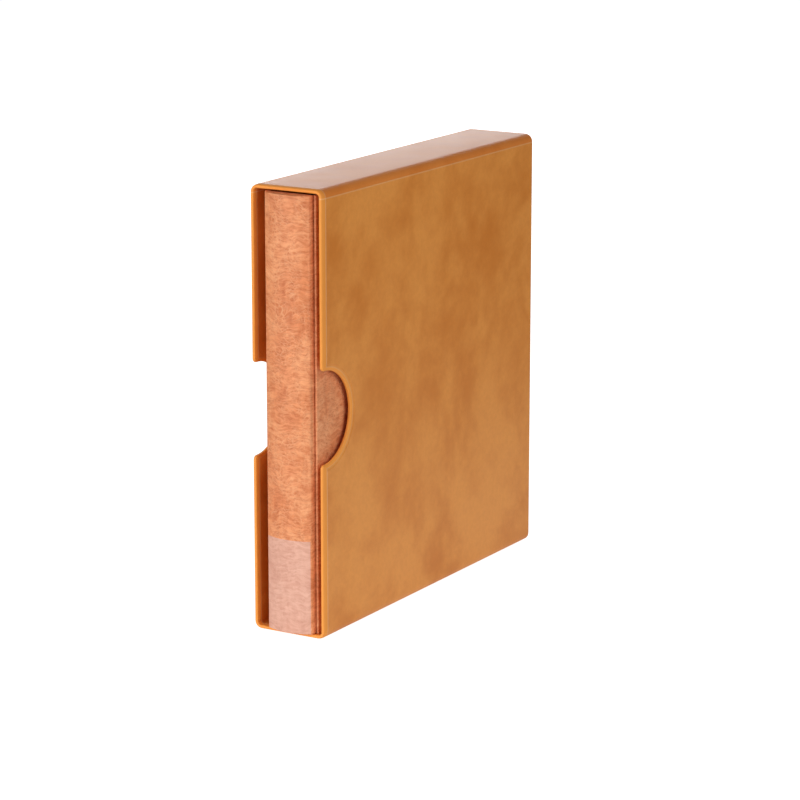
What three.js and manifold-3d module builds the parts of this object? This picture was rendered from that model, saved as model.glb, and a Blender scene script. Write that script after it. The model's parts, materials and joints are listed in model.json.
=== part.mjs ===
// A ring-bound coin album standing in its slipcase.
// Millimetres, +Z up. The case's mouth and the album's spine face -Y; the origin is the middle
// of the case's bottom face.
import * as THREE from "three";
import { mergeVertices } from "three/addons/utils/BufferGeometryUtils.js";
import Module from "manifold-3d";

// ---------------------------------------------------------------- driving sizes
// Slipcase, outside.
const CASE_WIDTH = 60;
const CASE_DEPTH = 304;
const CASE_HEIGHT = 325;
const CASE_EDGE_RADIUS = 6;
const CASE_MOUTH_RADIUS = 2.6;

// Half-round thumb notch in each side of the case.
const NOTCH_RADIUS = 34;
const NOTCH_ENTRY_RADIUS = 3;
const NOTCH_TURN_IN = 12;

// Layers of a covered board, from the outside in.
const SKIN = 0.6;
const CASE_BOARD = 1.9;
const ALBUM_BOARD = 2.2;
const LINER = 0.3;
const GLUE_LINE = 0.1;
const CASE_TURN_IN = 22;
const BACK_TURN_IN = 15;
const COVER_TURN_IN = 12;
const SHEET_GAP = 0.3;

// Room left round the album in its case.
const FOOT_CLEARANCE = 0.3;
const HEAD_CLEARANCE = 1.7;
const RIGHT_CLEARANCE = 3.8;
const LEFT_CLEARANCE = 7.8;
const BACK_CLEARANCE = 2.4;

// Album spine and hinges.
const COVER_SETBACK = 2.6;
const COVER_EDGE_RADIUS = 0.9;
const HINGE_WIDTH = 2.7;
const HINGE_GROOVE = 0.8;
const HINGE_SKIN = 0.8;
const SPINE_SETBACK = 4.5;
const SPINE_END_PROUD = 6;
const SPINE_CROWN = 4.7;
const PAD_INSET = 0.9;
const SPINE_BOARD_INSET = 0.8;

// Blank label round the foot of the spine.
const LABEL_HEIGHT = 69;
const LABEL_THICKNESS = 0.3;
const LABEL_INSET = 0.8;

// Ring mechanism.
const RING_COUNT = 4;
const RING_WIRE = 3.2;
const RING_OPEN_DEG = 13;
const RING_OPEN_CLEARANCE = 1.2;
const RING_END_INSET = 16;
const RING_TIP_GAP = 0.3;
const RING_ROOT_DEG = 69;
const PLATE_END_MARGIN = 22.5;
const PLATE_HALF_WIDTH = 8.6;
const PLATE_HEIGHT = 6.5;
const PLATE_METAL = 1;
const PLATE_CORNER = 3.6;
const PLATE_RIDGE_HALF = 2.6;
const RING_SLOT = 5;
const BLADE_METAL = 1.2;
const BLADE_LIFT = 1.4;
const BLADE_RUNNING_GAP = 0.4;
const BLADE_END_GAP = 2;

// Rivets that hold the mechanism to the spine.
const RIVET_INSET = 42;
const RIVET_SHANK_RADIUS = 2;
const RIVET_HEAD_RADIUS = 3.4;
const RIVET_HEAD_HEIGHT = 1.2;
const RIVET_CLEARANCE = 1;

// Opening levers at both ends of the mechanism.
const LEVER_WIDTH = 9;
const LEVER_METAL = 1.4;
const LEVER_SHEET_CLEARANCE = 2.6;
const LEVER_LEAN_DEG = 10;
const LEVER_HUB_RADIUS = 2.2;
const LEVER_PIN_RADIUS = 1;
const PIN_SLACK = 0.1;
const LEVER_FINGER_RADIUS = 1.6;
const LEVER_PIVOT_LIFT = 3.6;
const LEVER_PIVOT_OUT = 3.2;
const EAR_THICKNESS = 1;
const EAR_LENGTH = 5.6;
const RUNNING_GAP = 0.3;

// Coin sheets and the plain leaves between them.
const SHEET_COUNT = 5;
const SHEET_THICKNESS = 0.8;
const LEAF_THICKNESS = 0.4;
const SHEET_PITCH = 1.3;
const SHEET_MARGIN = 10;
const SHEET_END_MARGIN = 6;
const SHEET_FORE_MARGIN = 22;
const LEAF_INSET = 3;
const PUNCH_RADIUS = 4;
const PUNCH_SLACK = 0.8;

// How finely curves are cut.
const CORNER_STEPS = 4;
const NOTCH_STEPS = 8;
const SPINE_STEPS = 8;
const SPINE_ROUND_STEPS = 32;
const RING_STEPS = 14;
const RING_SIDES = 10;
const ROUND_STEPS = 16;

// ---------------------------------------------------------------- sizes that follow
const CASE_WALL = SKIN + GLUE_LINE + CASE_BOARD + GLUE_LINE + LINER;
const COVER_WALL = SKIN + GLUE_LINE + ALBUM_BOARD + GLUE_LINE + LINER;
const MOUTH_Y = -CASE_DEPTH / 2;
const BACK_Y = CASE_DEPTH / 2;
const INSIDE_BACK_Y = BACK_Y - CASE_WALL;
const INSIDE_HALF_WIDTH = CASE_WIDTH / 2 - CASE_WALL;
const NOTCH_Z = CASE_HEIGHT / 2;
const THROUGH = 2 * (CASE_WIDTH + CASE_DEPTH + CASE_HEIGHT);

const ALBUM_HEIGHT = CASE_HEIGHT - 2 * CASE_WALL - FOOT_CLEARANCE - HEAD_CLEARANCE;
const ALBUM_HALF = INSIDE_HALF_WIDTH - (RIGHT_CLEARANCE + LEFT_CLEARANCE) / 2;
const ALBUM_X = (LEFT_CLEARANCE - RIGHT_CLEARANCE) / 2;
const ALBUM_Z = CASE_WALL + FOOT_CLEARANCE;
const COVER_FRONT_Y = MOUTH_Y + COVER_SETBACK;
const FORE_EDGE_Y = INSIDE_BACK_Y - BACK_CLEARANCE;
const COVER_INSIDE = ALBUM_HALF - COVER_WALL;
const SPINE_INSIDE_Y = MOUTH_Y + SPINE_SETBACK;
const SPINE_HALF = ALBUM_HALF - HINGE_WIDTH;
const SPINE_END_Y = SPINE_INSIDE_Y - SPINE_END_PROUD;
const SPINE_ARC_RADIUS = (SPINE_HALF ** 2 + SPINE_CROWN ** 2) / (2 * SPINE_CROWN);
const SPINE_ARC_Y = SPINE_END_Y - SPINE_CROWN + SPINE_ARC_RADIUS;

const PLATE_LENGTH = ALBUM_HEIGHT - 2 * PLATE_END_MARGIN;
const RING_PITCH = (PLATE_LENGTH - 2 * RING_END_INSET) / (RING_COUNT - 1);
const RING_OPEN = THREE.MathUtils.degToRad(RING_OPEN_DEG);
const PIVOT_X = PLATE_HALF_WIDTH - PLATE_METAL - BLADE_RUNNING_GAP;
const PIVOT_LIFT = BLADE_LIFT + BLADE_METAL / 2;
const RING_REACH = COVER_INSIDE - RING_OPEN_CLEARANCE - RING_WIRE / 2;
const RING_RADIUS = (RING_REACH - PIVOT_X * (1 - Math.cos(RING_OPEN))) / (1 + Math.sin(RING_OPEN));
const RING_CENTRE_LIFT = PIVOT_LIFT + RING_RADIUS;
const LEAF_COUNT = SHEET_COUNT - 1;
const STACK_HALF = LEAF_COUNT * SHEET_PITCH;
const crossingLift = (x) => RING_CENTRE_LIFT + Math.sqrt(RING_RADIUS ** 2 - x ** 2) + PUNCH_SLACK;
const LEVER_REACH = crossingLift(STACK_HALF) - SHEET_MARGIN - LEVER_PIVOT_LIFT - LEVER_SHEET_CLEARANCE;
const ringZ = (index) => PLATE_END_MARGIN + RING_END_INSET + index * RING_PITCH;

// ---------------------------------------------------------------- solids
const wasm = await Module();
wasm.setup();

// Turns closed three.js geometry into a solid that can be cut and joined.
function solidOf(geometry) {
  const bare = geometry.index ? geometry.toNonIndexed() : geometry.clone();
  bare.deleteAttribute("normal");
  bare.deleteAttribute("uv");
  const merged = mergeVertices(bare, 1e-4);
  return new wasm.Manifold(new wasm.Mesh({
    numProp: 3,
    vertProperties: new Float32Array(merged.attributes.position.array),
    triVerts: new Uint32Array(merged.index.array),
  }));
}

// Turns a solid back into geometry for a mesh.
function geometryOf(solid) {
  const mesh = solid.getMesh();
  const geometry = new THREE.BufferGeometry();
  geometry.setAttribute("position", new THREE.BufferAttribute(new Float32Array(mesh.vertProperties), 3));
  geometry.setIndex(new THREE.BufferAttribute(new Uint32Array(mesh.triVerts), 1));
  geometry.computeVertexNormals();
  return geometry;
}

// A box between two corners.
function block(low, high) {
  const size = high.map((value, axis) => value - low[axis]);
  const geometry = new THREE.BoxGeometry(...size);
  geometry.translate(...high.map((value, axis) => (value + low[axis]) / 2));
  return solidOf(geometry);
}

// An outline drawn in X and Y, run up from one height to another.
function prismZ(shape, fromZ, toZ, steps) {
  const geometry = new THREE.ExtrudeGeometry(shape, {
    depth: toZ - fromZ, bevelEnabled: false, curveSegments: steps, steps: 1,
  });
  geometry.translate(0, 0, fromZ);
  return solidOf(geometry);
}

// An outline drawn in X and Z, run back from one depth to another.
function prismY(shape, fromY, toY, steps) {
  const geometry = new THREE.ExtrudeGeometry(shape, {
    depth: toY - fromY, bevelEnabled: false, curveSegments: steps, steps: 1,
  });
  geometry.rotateX(Math.PI / 2);
  geometry.translate(0, toY, 0);
  return solidOf(geometry);
}

// An outline drawn in Y and Z, run across from one side to the other.
function prismX(shape, fromX, toX, steps) {
  const geometry = new THREE.ExtrudeGeometry(shape, {
    depth: toX - fromX, bevelEnabled: false, curveSegments: steps, steps: 1,
  });
  const turn = new THREE.Matrix4().makeBasis(
    new THREE.Vector3(0, 1, 0), new THREE.Vector3(0, 0, 1), new THREE.Vector3(1, 0, 0));
  geometry.applyMatrix4(turn);
  geometry.translate(fromX, 0, 0);
  return solidOf(geometry);
}

// A round bar along Y.
function barY(x, z, radius, fromY, toY) {
  const geometry = new THREE.CylinderGeometry(radius, radius, toY - fromY, ROUND_STEPS);
  geometry.translate(x, (fromY + toY) / 2, z);
  return solidOf(geometry);
}

// A round bar along X.
function barX(y, z, radius, fromX, toX) {
  const geometry = new THREE.CylinderGeometry(radius, radius, toX - fromX, ROUND_STEPS);
  geometry.rotateZ(-Math.PI / 2);
  geometry.translate((fromX + toX) / 2, y, z);
  return solidOf(geometry);
}

// A rectangle with rounded corners, given by its edges.
function roundedRectangle(left, bottom, right, top, radius) {
  const shape = new THREE.Shape();
  shape.moveTo(left + radius, bottom);
  shape.lineTo(right - radius, bottom);
  shape.absarc(right - radius, bottom + radius, radius, -Math.PI / 2, 0, false);
  shape.lineTo(right, top - radius);
  shape.absarc(right - radius, top - radius, radius, 0, Math.PI / 2, false);
  shape.lineTo(left + radius, top);
  shape.absarc(left + radius, top - radius, radius, Math.PI / 2, Math.PI, false);
  shape.lineTo(left, bottom + radius);
  shape.absarc(left + radius, bottom + radius, radius, Math.PI, 1.5 * Math.PI, false);
  return shape;
}

// ---------------------------------------------------------------- slipcase
// The case's cross-section, pulled in from its outside by an inset.
function caseSection(inset) {
  const radius = THREE.MathUtils.lerp(CASE_EDGE_RADIUS, CASE_MOUTH_RADIUS, Math.min(inset / CASE_WALL, 1));
  const half = CASE_WIDTH / 2 - inset;
  return roundedRectangle(-half, inset, half, CASE_HEIGHT - inset, radius);
}

// The room of both thumb notches, grown all round by a little for the layers under the skin.
function notchRoom(grow) {
  const centreY = MOUTH_Y + NOTCH_ENTRY_RADIUS;
  const radius = NOTCH_RADIUS + grow;
  const entry = NOTCH_ENTRY_RADIUS - grow;
  const flare = NOTCH_RADIUS + NOTCH_ENTRY_RADIUS;
  const shape = new THREE.Shape();
  shape.moveTo(MOUTH_Y - CASE_WALL, NOTCH_Z + flare);
  shape.lineTo(MOUTH_Y - CASE_WALL, NOTCH_Z - flare);
  shape.lineTo(MOUTH_Y + grow, NOTCH_Z - flare);
  shape.absarc(centreY, NOTCH_Z - flare, entry, Math.PI, Math.PI / 2, true);
  shape.absarc(centreY, NOTCH_Z, radius, -Math.PI / 2, Math.PI / 2, false);
  shape.absarc(centreY, NOTCH_Z + flare, entry, -Math.PI / 2, -Math.PI, true);
  shape.closePath();
  return prismX(shape, -CASE_WIDTH, CASE_WIDTH, NOTCH_STEPS);
}

// The room of the notches with the skin's turned-in border round them.
function notchBorderRoom(border) {
  const radius = NOTCH_RADIUS + border;
  const shape = new THREE.Shape();
  shape.moveTo(MOUTH_Y - CASE_WALL, NOTCH_Z + radius);
  shape.lineTo(MOUTH_Y - CASE_WALL, NOTCH_Z - radius);
  shape.absarc(MOUTH_Y + NOTCH_ENTRY_RADIUS, NOTCH_Z, radius, -Math.PI / 2, Math.PI / 2, false);
  shape.closePath();
  return prismX(shape, -CASE_WIDTH, CASE_WIDTH, NOTCH_STEPS);
}

// A tube between two insets of the cross-section.
function caseTube(outerInset, innerInset, fromY, toY) {
  const outer = prismY(caseSection(outerInset), fromY, toY, CORNER_STEPS);
  const inner = prismY(caseSection(innerInset), fromY - CASE_WALL, toY + CASE_WALL, CORNER_STEPS);
  return outer.subtract(inner);
}

const BOARD_OUT = SKIN + GLUE_LINE;
const BOARD_IN = BOARD_OUT + CASE_BOARD;
const BACK_BOARD_FRONT = BACK_Y - BOARD_IN;
const BACK_BOARD_BACK = BACK_Y - BOARD_OUT;
const LINING_FRONT = MOUTH_Y + CASE_TURN_IN;

// The bent board sleeve, with its notches.
function caseSleeveBoard() {
  const tube = caseTube(BOARD_OUT, BOARD_IN, MOUTH_Y + BOARD_OUT, BACK_BOARD_FRONT - GLUE_LINE);
  return tube.subtract(notchRoom(BOARD_OUT));
}

// The board that closes the sleeve's back.
function caseBackBoard() {
  return prismY(caseSection(BOARD_OUT), BACK_BOARD_FRONT, BACK_BOARD_BACK, CORNER_STEPS);
}

// The lining behind the turned-in skin.
function caseLining() {
  const lining = caseTube(CASE_WALL - LINER, CASE_WALL, LINING_FRONT, INSIDE_BACK_Y - GLUE_LINE);
  return lining.subtract(notchBorderRoom(NOTCH_TURN_IN));
}

// The lining of the back board.
function caseBackLining() {
  const front = BACK_BOARD_FRONT - GLUE_LINE - LINER;
  return prismY(caseSection(CASE_WALL - LINER), front, front + LINER, CORNER_STEPS);
}

// The sheet laid into the turned-over border on the back.
function caseBackSheet() {
  return prismY(caseSection(BACK_TURN_IN), BACK_Y - SKIN, BACK_Y, CORNER_STEPS);
}

// The skin: round the sleeve, over the mouth's and the notches' edges, and onto the back.
function caseWrap() {
  const body = caseTube(0, CASE_WALL, MOUTH_Y, BACK_Y).subtract(notchRoom(0));
  const border = prismY(caseSection(0), BACK_Y - SKIN, BACK_Y, CORNER_STEPS);
  const sheetRoom = prismY(
    caseSection(BACK_TURN_IN - SHEET_GAP), INSIDE_BACK_Y, BACK_Y + CASE_WALL, CORNER_STEPS);
  const boardRoom = caseTube(SKIN, BOARD_IN + GLUE_LINE, MOUTH_Y + SKIN, BACK_Y - SKIN)
    .subtract(notchRoom(SKIN));
  const linerRoom = caseTube(BOARD_IN, CASE_WALL + GLUE_LINE, LINING_FRONT - GLUE_LINE, BACK_Y - SKIN)
    .subtract(notchBorderRoom(NOTCH_TURN_IN - GLUE_LINE));
  return body.add(border).subtract(sheetRoom).subtract(boardRoom).subtract(linerRoom);
}

// ---------------------------------------------------------------- album covers
// The closed album's outline from above: covers, hinge valleys and a crowned spine with upright sides.
function albumOutline() {
  const valleyY = SPINE_INSIDE_Y - HINGE_SKIN;
  const edgeY = COVER_FRONT_Y + COVER_EDGE_RADIUS;
  const outer = ALBUM_HALF - COVER_EDGE_RADIUS;
  const inner = SPINE_HALF + HINGE_GROOVE + COVER_EDGE_RADIUS;
  const spread = Math.asin(SPINE_HALF / SPINE_ARC_RADIUS);
  const shape = new THREE.Shape();
  shape.moveTo(ALBUM_HALF, FORE_EDGE_Y);
  shape.lineTo(-ALBUM_HALF, FORE_EDGE_Y);
  shape.absarc(-outer, edgeY, COVER_EDGE_RADIUS, Math.PI, 1.5 * Math.PI, false);
  shape.absarc(-inner, edgeY, COVER_EDGE_RADIUS, -Math.PI / 2, 0, false);
  shape.lineTo(-SPINE_HALF - HINGE_GROOVE, valleyY);
  shape.lineTo(-SPINE_HALF, valleyY);
  shape.absarc(0, SPINE_ARC_Y, SPINE_ARC_RADIUS, -Math.PI / 2 - spread, -Math.PI / 2 + spread, false);
  shape.lineTo(SPINE_HALF, valleyY);
  shape.lineTo(SPINE_HALF + HINGE_GROOVE, valleyY);
  shape.absarc(inner, edgeY, COVER_EDGE_RADIUS, Math.PI, 1.5 * Math.PI, false);
  shape.absarc(outer, edgeY, COVER_EDGE_RADIUS, -Math.PI / 2, 0, false);
  shape.closePath();
  return shape;
}

// A slab across the crowned spine between two depths under its skin.
function spineCrown(inset, half, flatY, fromZ, toZ) {
  const radius = SPINE_ARC_RADIUS - inset;
  const spread = Math.asin(half / radius);
  const shape = new THREE.Shape();
  shape.moveTo(half, flatY);
  shape.lineTo(-half, flatY);
  shape.absarc(0, SPINE_ARC_Y, radius, -Math.PI / 2 - spread, -Math.PI / 2 + spread, false);
  shape.closePath();
  return prismZ(shape, fromZ, toZ, SPINE_STEPS);
}

const COVER_BOARD_OUT = ALBUM_HALF - SKIN - GLUE_LINE;
const COVER_BOARD_IN = COVER_BOARD_OUT - ALBUM_BOARD;
const SPINE_BOARD_BACK = SPINE_INSIDE_Y - LINER - GLUE_LINE;
const SPINE_BOARD_FRONT = SPINE_BOARD_BACK - ALBUM_BOARD;
const SPINE_BOARD_HALF = SPINE_HALF - SPINE_BOARD_INSET;
const PAD_HALF = SPINE_HALF - PAD_INSET;
const EDGE = SKIN + GLUE_LINE;

// A cover board on the side +1 (front) or -1 (back), grown by a little where room is cut for it.
function coverBoard(side, grow) {
  const xs = [side * (COVER_BOARD_IN - grow), side * (COVER_BOARD_OUT + grow)].sort((a, b) => a - b);
  return block(
    [xs[0], COVER_FRONT_Y + EDGE + COVER_EDGE_RADIUS - grow, EDGE - grow],
    [xs[1], FORE_EDGE_Y - EDGE + grow, ALBUM_HEIGHT - EDGE + grow]);
}

// The liner inside a cover.
function coverLiner(side, grow) {
  const reach = grow > 0 ? LINER : 0;
  const xs = [side * (COVER_INSIDE - reach), side * (COVER_INSIDE + LINER + grow)].sort((a, b) => a - b);
  return block(
    [xs[0], COVER_FRONT_Y + COVER_TURN_IN - grow, COVER_TURN_IN - grow],
    [xs[1], FORE_EDGE_Y - COVER_TURN_IN + grow, ALBUM_HEIGHT - COVER_TURN_IN + grow]);
}

// The stiff board of the spine.
function spineBoard(grow) {
  return block(
    [-SPINE_BOARD_HALF - grow, SPINE_BOARD_FRONT - grow, EDGE - grow],
    [SPINE_BOARD_HALF + grow, SPINE_BOARD_BACK + grow, ALBUM_HEIGHT - EDGE + grow]);
}

// The liner on the spine board's inside.
function spineLiner(grow) {
  const reach = grow > 0 ? LINER : 0;
  return block(
    [-SPINE_BOARD_HALF - grow, SPINE_INSIDE_Y - LINER - grow, COVER_TURN_IN - grow],
    [SPINE_BOARD_HALF + grow, SPINE_INSIDE_Y + reach, ALBUM_HEIGHT - COVER_TURN_IN + grow]);
}

// The foam that crowns the spine.
function spinePad(grow) {
  return spineCrown(EDGE - grow, PAD_HALF + grow, SPINE_BOARD_FRONT - GLUE_LINE + 2 * grow,
    EDGE - grow, ALBUM_HEIGHT - EDGE + grow);
}

// The one-piece skin of covers, hinges and spine, with its turned-in edges.
function albumSkin() {
  const outside = prismZ(albumOutline(), 0, ALBUM_HEIGHT, CORNER_STEPS);
  const pages = block([-COVER_INSIDE, SPINE_INSIDE_Y, -THROUGH], [COVER_INSIDE, THROUGH, THROUGH]);
  let skin = outside.subtract(pages);
  for (const side of [1, -1]) {
    skin = skin.subtract(coverBoard(side, GLUE_LINE)).subtract(coverLiner(side, GLUE_LINE));
  }
  return skin.subtract(spineBoard(GLUE_LINE)).subtract(spineLiner(GLUE_LINE)).subtract(spinePad(GLUE_LINE))
    .subtract(labelSeat(GLUE_LINE));
}

// The label is let into the skin, so that it stands a little proud of it.
function labelSeat(grow) {
  const outer = spineCrown(-LABEL_THICKNESS, SPINE_HALF - LABEL_INSET + grow, SPINE_BOARD_FRONT,
    -grow, LABEL_HEIGHT + grow);
  const under = prismZ(circleUnder(LABEL_THICKNESS / 2 + grow), -THROUGH, THROUGH, SPINE_ROUND_STEPS);
  return outer.subtract(under);
}

// A full round under the spine's surface, by a depth.
function circleUnder(depth) {
  const shape = new THREE.Shape();
  shape.absarc(0, SPINE_ARC_Y, SPINE_ARC_RADIUS - depth, 0, 2 * Math.PI, false);
  return shape;
}

function spineLabel() {
  const front = spineCrown(
    -LABEL_THICKNESS / 2, SPINE_HALF - LABEL_INSET, SPINE_BOARD_FRONT, 0, LABEL_HEIGHT);
  return front.subtract(prismZ(circleUnder(LABEL_THICKNESS / 2), -THROUGH, THROUGH, SPINE_ROUND_STEPS));
}

// ---------------------------------------------------------------- ring mechanism
// The arched cover plate, slotted for the rings, with an ear at each corner for the lever pins.
function ringCoverPlate() {
  const arch = archSection(0, PLATE_CORNER);
  const hollow = archSection(PLATE_METAL, PLATE_CORNER - PLATE_METAL);
  let plate = prismZ(arch, PLATE_END_MARGIN, ALBUM_HEIGHT - PLATE_END_MARGIN, CORNER_STEPS)
    .subtract(prismZ(hollow, -THROUGH, THROUGH, CORNER_STEPS));
  for (let index = 0; index < RING_COUNT; index += 1) {
    for (const side of [1, -1]) {
      const xs = [side * PLATE_RIDGE_HALF, side * PLATE_HALF_WIDTH * 2].sort((a, b) => a - b);
      plate = plate.subtract(block(
        [xs[0], SPINE_INSIDE_Y - PLATE_METAL, ringZ(index) - RING_SLOT / 2],
        [xs[1], SPINE_INSIDE_Y + PLATE_HEIGHT + PLATE_METAL, ringZ(index) + RING_SLOT / 2]));
    }
  }
  for (const end of [0, 1]) {
    for (const side of [1, -1]) {
      plate = plate.add(pinEar(end, side));
    }
    plate = plate.subtract(rivetBore(end, RIVET_SHANK_RADIUS + GLUE_LINE));
    plate = plate.subtract(barX(pivotY(), pivotZ(end), LEVER_PIN_RADIUS + PIN_SLACK, -THROUGH, THROUGH));
  }
  return plate;
}

// The plate's outline from above, or its hollow's: a flat foot, upright sides and rounded shoulders.
function archSection(inset, cornerRadius) {
  const half = PLATE_HALF_WIDTH - inset;
  const top = SPINE_INSIDE_Y + PLATE_HEIGHT - inset;
  const foot = inset > 0 ? SPINE_INSIDE_Y - PLATE_METAL : SPINE_INSIDE_Y + GLUE_LINE;
  const shape = new THREE.Shape();
  shape.moveTo(-half, foot);
  shape.lineTo(half, foot);
  shape.absarc(half - cornerRadius, top - cornerRadius, cornerRadius, 0, Math.PI / 2, false);
  shape.absarc(-half + cornerRadius, top - cornerRadius, cornerRadius, Math.PI / 2, Math.PI, false);
  shape.closePath();
  return shape;
}

const pivotY = () => SPINE_INSIDE_Y + LEVER_PIVOT_LIFT;
const pivotZ = (end) => (end === 0
  ? PLATE_END_MARGIN - LEVER_PIVOT_OUT
  : ALBUM_HEIGHT - PLATE_END_MARGIN + LEVER_PIVOT_OUT);

// A small ear that carries one end of a lever's pin.
function pinEar(end, side) {
  const inner = LEVER_WIDTH / 2 + RUNNING_GAP;
  const xs = [side * inner, side * (inner + EAR_THICKNESS)].sort((a, b) => a - b);
  const plateEnd = end === 0 ? PLATE_END_MARGIN : ALBUM_HEIGHT - PLATE_END_MARGIN;
  const outward = end === 0 ? -1 : 1;
  const zs = [plateEnd + outward * EAR_LENGTH, plateEnd - outward * PLATE_METAL].sort((a, b) => a - b);
  return block(
    [xs[0], SPINE_INSIDE_Y + PLATE_METAL, zs[0]],
    [xs[1], SPINE_INSIDE_Y + PLATE_HEIGHT - PLATE_METAL / 2, zs[1]]);
}

const rivetZ = (end) => (end === 0 ? PLATE_END_MARGIN + RIVET_INSET
  : ALBUM_HEIGHT - PLATE_END_MARGIN - RIVET_INSET);

// The straight hole that a rivet passes through.
function rivetBore(end, radius) {
  return barY(0, rivetZ(end), radius, SPINE_INSIDE_Y - CASE_WALL, SPINE_INSIDE_Y + 2 * PLATE_HEIGHT);
}

// A rivet: a shank from the spine liner to the plate and a head on top of it.
function rivet(end) {
  const seat = SPINE_INSIDE_Y + PLATE_HEIGHT + GLUE_LINE;
  const shank = barY(0, rivetZ(end), RIVET_SHANK_RADIUS, SPINE_INSIDE_Y + GLUE_LINE, seat + GLUE_LINE);
  const head = barY(0, rivetZ(end), RIVET_HEAD_RADIUS, seat, seat + RIVET_HEAD_HEIGHT);
  return shank.add(head);
}

// A blade under the plate; it turns on its outer edge and carries four half rings.
function ringBlade(side) {
  const xs = [side * RING_TIP_GAP, side * PIVOT_X].sort((a, b) => a - b);
  let blade = block(
    [xs[0], SPINE_INSIDE_Y + BLADE_LIFT, PLATE_END_MARGIN + BLADE_END_GAP],
    [xs[1], SPINE_INSIDE_Y + BLADE_LIFT + BLADE_METAL, ALBUM_HEIGHT - PLATE_END_MARGIN - BLADE_END_GAP]);
  for (const end of [0, 1]) {
    blade = blade.subtract(rivetBore(end, RIVET_SHANK_RADIUS + RIVET_CLEARANCE));
  }
  return blade;
}

// The centre line of half a ring, from its root on the blade round to its tip.
class HalfRing extends THREE.Curve {
  constructor(side, radius, centreY) {
    super();
    this.side = side;
    this.radius = radius;
    this.centreY = centreY;
  }

  getPoint(share, target = new THREE.Vector3()) {
    const root = -THREE.MathUtils.degToRad(RING_ROOT_DEG);
    const tip = Math.acos(RING_TIP_GAP / 2 / this.radius);
    const angle = THREE.MathUtils.lerp(root, tip, share);
    const out = this.radius * Math.cos(angle);
    return target.set(this.side * out, this.centreY + this.radius * Math.sin(angle), 0);
  }
}

// Half a ring of round wire, standing on its blade.
function halfRing(side, index) {
  const section = new THREE.Shape();
  for (let step = 0; step < RING_SIDES; step += 1) {
    const angle = (2 * Math.PI * step) / RING_SIDES;
    const point = [RING_WIRE / 2 * Math.cos(angle), RING_WIRE / 2 * Math.sin(angle)];
    if (step === 0) section.moveTo(...point);
    else section.lineTo(...point);
  }
  const path = new HalfRing(side, RING_RADIUS, SPINE_INSIDE_Y + RING_CENTRE_LIFT);
  const geometry = new THREE.ExtrudeGeometry(
    section, { steps: RING_STEPS, bevelEnabled: false, extrudePath: path });
  geometry.translate(0, 0, ringZ(index));
  const seat = SPINE_INSIDE_Y + BLADE_LIFT + BLADE_METAL + GLUE_LINE;
  const below = block([-THROUGH, -THROUGH, -THROUGH], [THROUGH, seat, THROUGH]);
  const beyond = side > 0
    ? block([-THROUGH, -THROUGH, -THROUGH], [RING_TIP_GAP / 2, THROUGH, THROUGH])
    : block([-RING_TIP_GAP / 2, -THROUGH, -THROUGH], [THROUGH, THROUGH, THROUGH]);
  return solidOf(geometry).subtract(below).subtract(beyond);
}

// A lever: a hub on its pin and a finger tab that leans outwards.
function lever(end) {
  const outward = end === 0 ? -1 : 1;
  const lean = THREE.MathUtils.degToRad(LEVER_LEAN_DEG);
  const hub = barX(0, 0, LEVER_HUB_RADIUS, -LEVER_WIDTH / 2, LEVER_WIDTH / 2);
  const tab = block(
    [-LEVER_WIDTH / 2, 0, -LEVER_METAL / 2],
    [LEVER_WIDTH / 2, LEVER_REACH - LEVER_FINGER_RADIUS, LEVER_METAL / 2]);
  const finger = barX(LEVER_REACH - LEVER_FINGER_RADIUS, 0, LEVER_FINGER_RADIUS,
    -LEVER_WIDTH / 2, LEVER_WIDTH / 2);
  const bore = barX(0, 0, LEVER_PIN_RADIUS + PIN_SLACK, -THROUGH, THROUGH);
  const turned = hub.add(tab).add(finger).subtract(bore);
  const geometry = geometryOf(turned);
  geometry.rotateX(outward * lean);
  geometry.translate(0, pivotY(), pivotZ(end));
  return solidOf(geometry);
}

// The pin that a lever turns on.
function leverPin(end) {
  const half = LEVER_WIDTH / 2 + RUNNING_GAP + EAR_THICKNESS;
  return barX(pivotY(), pivotZ(end), LEVER_PIN_RADIUS, -half, half);
}

// ---------------------------------------------------------------- sheets
// A punched leaf at a place across the album; coin sheets reach further than the leaves between.
function punchedLeaf(x, thickness, foreMargin, endMargin) {
  const crossing = SPINE_INSIDE_Y + crossingLift(x);
  let leaf = block(
    [x - thickness / 2, crossing - SHEET_MARGIN, endMargin],
    [x + thickness / 2, FORE_EDGE_Y - foreMargin, ALBUM_HEIGHT - endMargin]);
  for (let index = 0; index < RING_COUNT; index += 1) {
    leaf = leaf.subtract(barX(crossing, ringZ(index), PUNCH_RADIUS, -THROUGH, THROUGH));
  }
  return leaf;
}

// ---------------------------------------------------------------- finishes
const FINISHES = {
  tanLeatherette: { color: 0xc4803f, roughness: 0.42, metalness: 0 },
  peachLeatherette: { color: 0xeb9b73, roughness: 0.6, metalness: 0 },
  paleLeatherette: { color: 0xeebeaa, roughness: 0.65, metalness: 0 },
  board: { color: 0x9a8f80, roughness: 0.9, metalness: 0 },
  lining: { color: 0x7a4a22, roughness: 0.8, metalness: 0 },
  endpaper: { color: 0xe9ddc8, roughness: 0.85, metalness: 0 },
  foam: { color: 0xe6e2d6, roughness: 0.95, metalness: 0 },
  nickel: { color: 0xc9c9c6, roughness: 0.22, metalness: 1 },
  clearSheet: { color: 0xe8eef0, roughness: 0.12, metalness: 0 },
  leafCard: { color: 0xf2efe6, roughness: 0.8, metalness: 0 },
};

// A named mesh in a group, with a material of its own.
function place(group, name, solid, finish) {
  const mesh = new THREE.Mesh(geometryOf(solid), new THREE.MeshStandardMaterial(FINISHES[finish]));
  mesh.name = name;
  group.add(mesh);
}

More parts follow.
